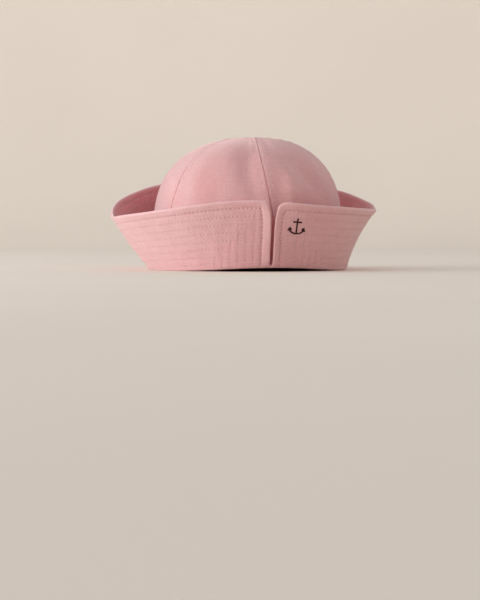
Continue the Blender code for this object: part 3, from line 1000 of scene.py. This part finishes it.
def twill(name, many_rows):
    """Washed cotton twill, with needle holes along its rows of stitches and painted light and shade in its
    colour.

    The map "cloth" gives metres across and up the cloth. The map "rows" gives the count of stitches
    and the number of the row: rows lie at every whole number if many_rows, or else at 1 alone.
    """
    material, tree, surface = shader(name)
    cloth = node(tree, "ShaderNodeUVMap", uv_map="cloth").outputs[0]
    across, up = parts_of(tree, cloth)
    slant = calc(tree, "ADD", calc(tree, "MULTIPLY", across, 0.9), calc(tree, "MULTIPLY", up, 0.44))
    lines = calc(tree, "SINE", calc(tree, "MULTIPLY", slant, 2.0 * np.pi / TWILL_PITCH))
    back = calc(tree, "SUBTRACT", calc(tree, "MULTIPLY", across, 0.5), up)
    yarns = calc(tree, "SINE", calc(tree, "MULTIPLY", back, 2.0 * np.pi / YARN_PITCH))
    weave = calc(tree, "MULTIPLY_ADD", yarns, 0.35, lines)

    slubs = noise(tree, cloth, 2.0, 1.0, (1500.0, 55.0, 1.0))
    picks = noise(tree, cloth, 2.0, 1.0, (55.0, 1500.0, 1.0))
    streaks = calc(tree, "ADD", slubs, picks)
    place = node(tree, "ShaderNodeTexCoord").outputs["Object"]
    wash = noise(tree, place, 4.0, 26.0)
    fade = noise(tree, place, 3.0, 240.0)
    grain = noise(tree, place, 1.0, 950.0)

    count, number = parts_of(tree, node(tree, "ShaderNodeUVMap", uv_map="rows").outputs[0])
    along = calc(tree, "SUBTRACT", calc(tree, "FRACT", calc(tree, "ADD", count, 0.5)), 0.5)
    along = calc(tree, "MULTIPLY", along, STITCH_PITCH)
    if many_rows:
        off = calc(tree, "SUBTRACT", calc(tree, "FRACT", calc(tree, "ADD", number, 0.5)), 0.5)
        off = calc(tree, "MULTIPLY", off, ROW_STEP)
        real = calc(tree, "GREATER_THAN", number, -0.5)
        # painted shade along the rows, fading in and out in patches, stronger on the first row
        painted_row_shade_patches = ramp(tree, noise(tree, place, 1.0, 75.0), 0.38, 0.62, 0.02, 0.24)
        strength = calc(tree, "MULTIPLY_ADD", calc(tree, "LESS_THAN", number, 0.5), 0.35, painted_row_shade_patches)
    else:
        off = calc(tree, "MULTIPLY", calc(tree, "SUBTRACT", number, 1.0), SEAM_STITCH)
        real = 1.0
        strength = 0.05
    squares = calc(tree, "ADD", calc(tree, "POWER", along, 2.0), calc(tree, "POWER", off, 2.0))
    away = calc(tree, "SQRT", squares)
    hole = calc(tree, "MULTIPLY", ramp(tree, away, 0.00015, 0.0008, 1.0, 0.0), real)
    trench = calc(tree, "MULTIPLY", ramp(tree, calc(tree, "ABSOLUTE", off), 0.0, 0.0014, 1.0, 0.0), real)

    worn_and_lit, seam, painted_trough_shade, painted_light_and_shade = (node(tree, "ShaderNodeAttribute", attribute_name=key).outputs["Fac"]
                                     for key in ("worn_and_lit", "seam", "painted_trough_shade", "painted_light_and_shade"))
    aside = parts_of(tree, place)[0]
    # painted shade in the grooves along the rows of stitches
    painted_groove_shade = calc(tree, "MULTIPLY", trench, calc(tree, "MULTIPLY", strength, 0.3))
    layers = (
        (ramp(tree, wash, 0.25, 0.8, 0.0, 0.3), CLOTH_PALE),
        # painted light: paler and less saturated towards the wearer's left, the key light's side
        (ramp(tree, aside, 0.0, 0.09, 0.0, 0.85), CLOTH_PAINTED_LIT_SIDE),
        # painted light and painted shade in patches on the crown, partly also wear
        (ramp(tree, painted_light_and_shade, 0.0, 1.0), CLOTH_PAINTED_LIGHT),
        (ramp(tree, painted_light_and_shade, -1.0, 0.0, 1.0, 0.0), CLOTH_PAINTED_SHADE),
        # painted shade in the trough between brim and crown, and on the inner faces
        (calc(tree, "MULTIPLY", painted_trough_shade, 0.85), CLOTH_PAINTED_TROUGH_SHADE),
        (ramp(tree, streaks, 0.7, 1.3, 0.5, 0.0), CLOTH_DEEP),
        (ramp(tree, grain, 0.35, 0.65, 0.3, 0.0), CLOTH_DEEP),
        (ramp(tree, fade, 0.42, 0.75, 0.0, 0.15), CLOTH_PALE),
        (ramp(tree, weave, -1.3, 0.6, 0.12, 0.0), CLOTH_DEEP),
        # paler along free edges and seams from wear, with painted highlights beside the split and on the
        # seams' lips
        (calc(tree, "MULTIPLY", worn_and_lit, 0.4), CLOTH_PALE),
        # painted shade in the seams' grooves
        (calc(tree, "MULTIPLY", seam, 0.75), SEAM_PAINTED_SHADE),
        # painted shade along the rows' grooves and in the needle holes
        (painted_groove_shade, CLOTH_DEEP),
        (calc(tree, "MULTIPLY", hole, strength), HOLE_PAINTED_SHADE),
    )
    shade = CLOTH_PINK
    for share, colour in layers:
        shade = blend(tree, share, shade, colour)

    wave = calc(tree, "COSINE", calc(tree, "MULTIPLY", count, 2.0 * np.pi))
    swell = calc(tree, "MULTIPLY", wave, trench)
    reliefs = [(streaks, 0.00022), (grain, 0.00016),
               (hole, -0.0004 if many_rows else -0.00012), (swell, -0.0001)]
    if many_rows:
        reliefs.append((noise(tree, cloth, 1.0, 1.0, (420.0, 90.0, 1.0)), 0.00028))
    height = calc(tree, "MULTIPLY", weave, 0.00003)
    for relief, depth in reliefs:
        height = calc(tree, "MULTIPLY_ADD", relief, depth, height)
    bump = node(tree, "ShaderNodeBump", {"Height": height, "Distance": 1.0, "Strength": 1.0})
    feed(tree, surface.inputs["Base Color"], shade)
    feed(tree, surface.inputs["Normal"], bump.outputs[0])
    feed(tree, surface.inputs["Roughness"], ramp(tree, fade, 0.2, 0.8, 0.82, 0.95))
    surface.inputs["Specular IOR Level"].default_value = 0.25
    surface.inputs["Sheen Weight"].default_value = 0.9
    surface.inputs["Sheen Roughness"].default_value = 0.45
    surface.inputs["Sheen Tint"].default_value = (1.0, 0.8, 0.8, 1.0)
    material.diffuse_color = CLOTH_PINK
    return material


def cotton_thread(name, deep, pale):
    """Dyed sewing thread: smoother than the cloth, each stitch of its own tone between two colours."""
    material, tree, surface = shader(name)
    tone = node(tree, "ShaderNodeAttribute", attribute_name="tone").outputs["Fac"]
    place = node(tree, "ShaderNodeTexCoord").outputs["Object"]
    ply = noise(tree, place, 1.0, 3200.0)
    shade = blend(tree, ramp(tree, tone, 0.0, 1.0), deep, pale)
    shade = blend(tree, ramp(tree, ply, 0.35, 0.65, 0.3, 0.0), shade, deep)
    bump = node(tree, "ShaderNodeBump", {"Height": calc(tree, "MULTIPLY", ply, 0.00006), "Distance": 1.0})
    feed(tree, surface.inputs["Base Color"], shade)
    feed(tree, surface.inputs["Normal"], bump.outputs[0])
    feed(tree, surface.inputs["Roughness"], ramp(tree, tone, 0.0, 1.0, 0.58, 0.7))
    surface.inputs["Specular IOR Level"].default_value = 0.3
    surface.inputs["Sheen Weight"].default_value = 0.04
    material.diffuse_color = pale
    return material


# ---------------------------------------------------------------- pieces

def make_crown(cloth, thread):
    """The five crown panels and the stitches beside their seams."""
    seams = list(CROWN_SEAMS.values())
    again = tuple(azimuth + 360.0 for azimuth in seams[0])
    threads = {"crown_topstitching": [], "crown_bobbin_stitching": []}
    for name, start, end in zip(CROWN_PANELS, seams, seams[1:] + [again]):
        azimuth, climb = panel_grid(start, end)
        outer, inner = panel_faces(azimuth, climb, start, end)
        outer[-1] = inner[-1] = outer[-1].mean(axis=0)  # each panel ends in one point
        from_start, from_end = panel_distances(azimuth, climb, start, end)
        near = np.minimum(from_start, from_end)
        length = crown_length(climb)
        middle = 0.5 * (seam_azimuth(start, climb) + seam_azimuth(end, climb))
        flat_x = np.radians(azimuth - middle) * dome_profile(climb)[0] * head_line_reach(azimuth)
        maps = {"cloth": np.stack((flat_x, length), axis=-1),
                "rows": np.stack((length / STITCH_PITCH, near / SEAM_STITCH), axis=-1)}
        # paler beside each seam: wear, and a painted highlight on the seam's lip
        worn_and_lit = (bell(from_end - WORN_AND_LIT_LINE, WORN_AND_LIT_SPREAD)
                + WORN_AND_LIT_LOW_SHARE * bell(from_start - WORN_AND_LIT_LINE, WORN_AND_LIT_SPREAD))
        # painted shade in each seam's groove, fading towards the top, which is lit from above
        seam = bell(near, SEAM_SHADE_SPREAD) * (1.0 - SEAM_SHADE_LOSS * ease(outer[..., 2], *SEAM_SHADE_FADES))
        # the inner face takes the full painted shade of the trough
        inside = np.ones(near.shape)
        # painted light and painted shade in patches, standing in for shading the crown's shape does not give,
        # partly also wear
        painted_light_and_shade = crown_painted_light_and_shade(azimuth, outer[..., 2])
        values = {"worn_and_lit": (worn_and_lit, 0.0 * inside), "seam": (seam, seam), "painted_light_and_shade": (painted_light_and_shade, 0.0 * inside),
                  "painted_trough_shade": (ease(outer[..., 2], TROUGH_SHADE_TOP, TROUGH_SHADE_FOOT), inside)}
        node_name = "crown_panel_" + name
        panel = sheet_piece(node_name + "_cloth", outer, inner, 0, cloth, maps, values)
        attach(panel, "root")
        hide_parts(node_name)
        both = stitch_frames(lambda *place: panel_faces(*place, start, end), *seam_stitches(start, end))
        for frames, frame_of_panel in zip(threads.values(), both):
            frames.append(frame_of_panel)
    for name, frames in threads.items():
        centre, along, out = (np.concatenate(part) for part in zip(*frames))
        piece = stitches(name, centre, along, out, thread, STITCH_LENGTH, FINE_THREAD)
        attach(piece, "root")


def make_brim(cloth, thread, mark_thread):
    """The quilted brim, its rows of stitches on both faces, and the mark on its right flap."""
    azimuth, run, joined_from = brim_grid()
    outer, inner = brim_faces(azimuth, run)
    for face in (outer, inner):
        face[joined_from:, -1] = face[joined_from:, 0]
    number, count = quilt_rows(azimuth, run)
    length = np.interp(azimuth, ROUND_TURNS, ROUND_SHARES) * ROUND_LENGTH
    maps = {"cloth": np.stack((length, run), axis=-1), "rows": np.stack((count, number), axis=-1)}
    edge = edge_distance(azimuth, run)
    left = split_distances(azimuth, run)[0] / LEFT_LEGS[0]
    # paler along the free edges from wear, and a painted highlight on the left flap's hem beside the split
    worn_and_lit = np.maximum(bell(edge, WORN_RIM_SPREAD), SPLIT_PAINTED_HIGHLIGHT * ease(left, 1.0, 0.8))
    nothing = np.zeros(edge.shape)
    # painted shade on the inner face, from just below the rim
    inner_trough_shade = ease(run, 0.0, TROUGH_SHADE_REACH)
    values = {"worn_and_lit": (worn_and_lit, worn_and_lit), "seam": (nothing, nothing), "painted_trough_shade": (nothing, inner_trough_shade),
              "painted_light_and_shade": (nothing, nothing)}
    brim = sheet_piece("brim_cloth", outer, inner, joined_from, cloth, maps, values)
    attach(brim, "root")
    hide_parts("brim")
    places = quilt_stitches()
    first_row = quilt_rows(places[0], places[1])[0] < 0.5
    radius = np.where(first_row, THREAD_RADIUS, FINE_THREAD)
    outside, inside = stitch_frames(brim_faces, *places)
    for name, (centre, along, out) in (("brim_quilting", outside), ("brim_bobbin_quilting", inside)):
        clear = centre[:, 2] > FLOOR_CLEARANCE
        piece = stitches(name, centre[clear], along[clear], out[clear], thread, STITCH_LENGTH, radius[clear])
        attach(piece, "root")
    mark = stitches("brim_anchor_mark", *anchor_stitches(), mark_thread, MARK_STITCH, MARK_THREAD)
    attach(mark, "root")


# ---------------------------------------------------------------- studio

VIEW_TURN = np.radians(12.5)  # the camera stands this far round from behind the cap
VIEW_RISE = np.radians(1.2)
VIEW_DISTANCE = 1.5
VIEW_LENS = 99.0
AIM_ASIDE = -0.0064
AIM_DOWN = -0.028

# One row for each light: name, place, what it points at, width, height, power and colour.
LIGHTS = (
    ("key", (1.53, 0.17, 0.21), (0.0, 0.0, 0.06), 1.1, 0.38, 16.0, (1.0, 0.985, 0.97)),
    ("backdrop", (1.9, -0.9, 1.1), (0.6, -2.6, 0.35), 0.9, 0.9, 9.0, (1.0, 0.975, 0.95)),
)
SKY_FOOT = 0.82
SKY_TOP = 0.57
SKY_COLOUR = (1.0, 0.98, 0.96, 1.0)

FLOOR_RADIUS = 2.2
SWEEP_RADIUS = 0.8
SWEEP_HEIGHT = 1.0
STUDIO_COLOUR = (0.9, 0.83, 0.757, 1.0)


def make_studio():
    """A plain pale floor that curves up into a round backdrop: a profile turned about the Z axis."""
    material, tree, surface = shader("studio_paper")
    place = node(tree, "ShaderNodeTexCoord").outputs["Object"]
    mottle = noise(tree, place, 2.0, 3.0)
    paler = tuple(1.02 * part for part in STUDIO_COLOUR[:3]) + (1.0,)
    feed(tree, surface.inputs["Base Color"], blend(tree, ramp(tree, mottle, 0.3, 0.7), STUDIO_COLOUR, paler))
    surface.inputs["Roughness"].default_value = 0.9
    surface.inputs["Specular IOR Level"].default_value = 0.15
    turn = np.linspace(0.0, 0.5 * np.pi, 17)
    radius = np.concatenate(((0.02, 0.5, 1.2), FLOOR_RADIUS + SWEEP_RADIUS * np.sin(turn),
                             (FLOOR_RADIUS + SWEEP_RADIUS,)))
    height = np.concatenate(((0.0, 0.0, 0.0), SWEEP_RADIUS * (1.0 - np.cos(turn)), (SWEEP_HEIGHT,)))
    around = np.linspace(0.0, 2.0 * np.pi, 97)[:-1]
    points = np.stack((radius[:, None] * np.cos(around), radius[:, None] * np.sin(around),
                       np.broadcast_to(height[:, None], (height.size, around.size))), axis=-1).reshape(-1, 3)
    index = np.arange(points.shape[0]).reshape(height.size, around.size)
    after = np.roll(index, -1, axis=1)
    quads = np.stack((index[:-1], index[1:], after[1:], after[:-1]), axis=-1).reshape(-1, 4)
    mesh = bpy.data.meshes.new("floor")
    mesh.from_pydata(points.tolist(), [], quads.tolist() + [index[0].tolist()])
    mesh.shade_smooth()
    mesh.materials.append(material)
    floor = bpy.data.objects.new("floor", mesh)
    bpy.context.scene.collection.objects.link(floor)


def soft_light(name, place, aim, width, height, power, colour):
    """A rectangular area light that points at a place."""
    light = bpy.data.lights.new(name, "AREA")
    light.shape = "RECTANGLE"
    light.size = width
    light.size_y = height
    light.energy = power
    light.color = colour
    lamp = bpy.data.objects.new(name, light)
    lamp.location = place
    lamp.rotation_euler = (Vector(aim) - Vector(place)).to_track_quat("-Z", "Y").to_euler()
    lamp.visible_camera = False
    bpy.context.scene.collection.objects.link(lamp)


def make_lights():
    """A large low key light from the wearer's left, a light on the backdrop, and a sky paler at its foot."""
    for light in LIGHTS:
        soft_light(*light)
    world = bpy.data.worlds.new("studio")
    world.use_nodes = True
    tree = world.node_tree
    sky = tree.nodes["Background"]
    place = node(tree, "ShaderNodeTexCoord").outputs["Generated"]
    rise = node(tree, "ShaderNodeSeparateXYZ", {0: place}).outputs[2]
    sky.inputs[0].default_value = SKY_COLOUR
    feed(tree, sky.inputs[1], ramp(tree, rise, 0.1, 0.9, SKY_FOOT, SKY_TOP))
    bpy.context.scene.world = world


def make_camera():
    """A long lens behind the cap, slightly to the wearer's left and just above the floor."""
    level = np.cos(VIEW_RISE)
    back = Vector((np.sin(VIEW_TURN) * level, np.cos(VIEW_TURN) * level, np.sin(VIEW_RISE)))
    right = Vector((-np.cos(VIEW_TURN), np.sin(VIEW_TURN), 0.0))
    centre = Vector(HEAD_CENTRE)
    lens = bpy.data.cameras.new("camera")
    lens.lens = VIEW_LENS
    lens.clip_start = 0.02
    camera = bpy.data.objects.new("camera", lens)
    camera.location = centre + VIEW_DISTANCE * back
    aim = centre + AIM_ASIDE * right + AIM_DOWN * back.cross(right)
    camera.rotation_euler = (aim - camera.location).to_track_quat("-Z", "Y").to_euler()
    bpy.context.scene.collection.objects.link(camera)
    bpy.context.scene.camera = camera


make_camera()
make_studio()
make_lights()
pink_thread = cotton_thread("pink_thread", THREAD_DEEP, THREAD_PINK)
mark_thread = cotton_thread("mark_thread", MARK_DARK, MARK_WARM)
make_crown(twill("crown_twill", False), pink_thread)
make_brim(twill("brim_twill", True), pink_thread, mark_thread)
bpy.context.scene.view_settings.view_transform = "Standard"
